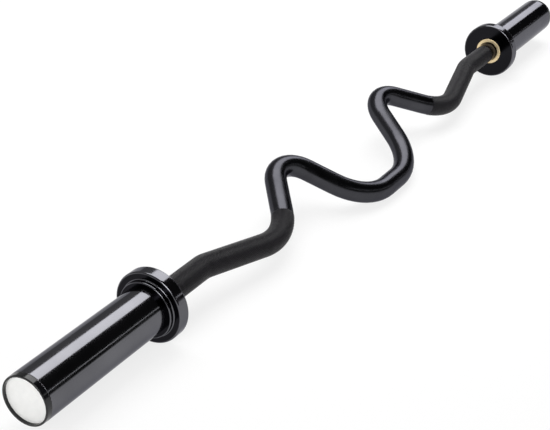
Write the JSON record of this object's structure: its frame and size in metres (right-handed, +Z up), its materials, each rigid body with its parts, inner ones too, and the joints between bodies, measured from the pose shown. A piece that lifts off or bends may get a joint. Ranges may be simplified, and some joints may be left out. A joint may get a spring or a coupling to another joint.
{
  "type": "curl barbell",
  "caption": "Curl barbell with a zigzag knurled shaft and a free-spinning flanged plate sleeve on each end, for arm exercises with weight plates.",
  "frame": {"origin": "on the floor, under the middle of the bar's box, as the bar rests on its two flanges and the middle of its shaft", "axes": "+X along the sleeve axis, +Y towards the side that the shaft's middle dips to, +Z up"},
  "size_m": [1.2, 0.1078, 0.075],
  "materials": {
    "black_shaft": "black coated bar, knurled at the grips and gloss in the middle",
    "black_steel": "gloss black coat on turned steel",
    "bronze": "turned bronze",
    "bright_steel": "ground",
    "spring_steel": "dark oiled spring steel",
    "black_plastic": "moulded gloss black",
    "white_plate": "bare white plate"
  },
  "bodies": {
    "bar": {"shaft": "black_shaft", "inner_washer_left": "bright_steel", "outer_washer_left": "bright_steel", "inner_clip_left": "spring_steel", "outer_clip_left": "spring_steel", "inner_washer_right": "bright_steel", "outer_washer_right": "bright_steel", "inner_clip_right": "spring_steel", "outer_clip_right": "spring_steel"},
    "left_sleeve": {"sleeve_tube_left": "black_steel", "collar_left": "black_steel", "inner_bush_left": "bronze", "outer_bush_left": "bronze", "bush_snap_ring_left": "spring_steel", "end_cap_left": "black_plastic", "cap_disc_left": "white_plate"},
    "right_sleeve": {"sleeve_tube_right": "black_steel", "collar_right": "black_steel", "inner_bush_right": "bronze", "outer_bush_right": "bronze", "bush_snap_ring_right": "spring_steel", "end_cap_right": "black_plastic", "cap_disc_right": "white_plate"}
  },
  "joints": [
    {"name": "left_sleeve_spin", "type": "hinge", "parent": "bar", "child": "left_sleeve", "pos_m": [-0.5, -0.00868, 0.0375], "axis": [1, 0, 0], "continuous": true},
    {"name": "right_sleeve_spin", "type": "hinge", "parent": "bar", "child": "right_sleeve", "pos_m": [0.5, -0.00868, 0.0375], "axis": [1, 0, 0], "continuous": true}
  ]
}
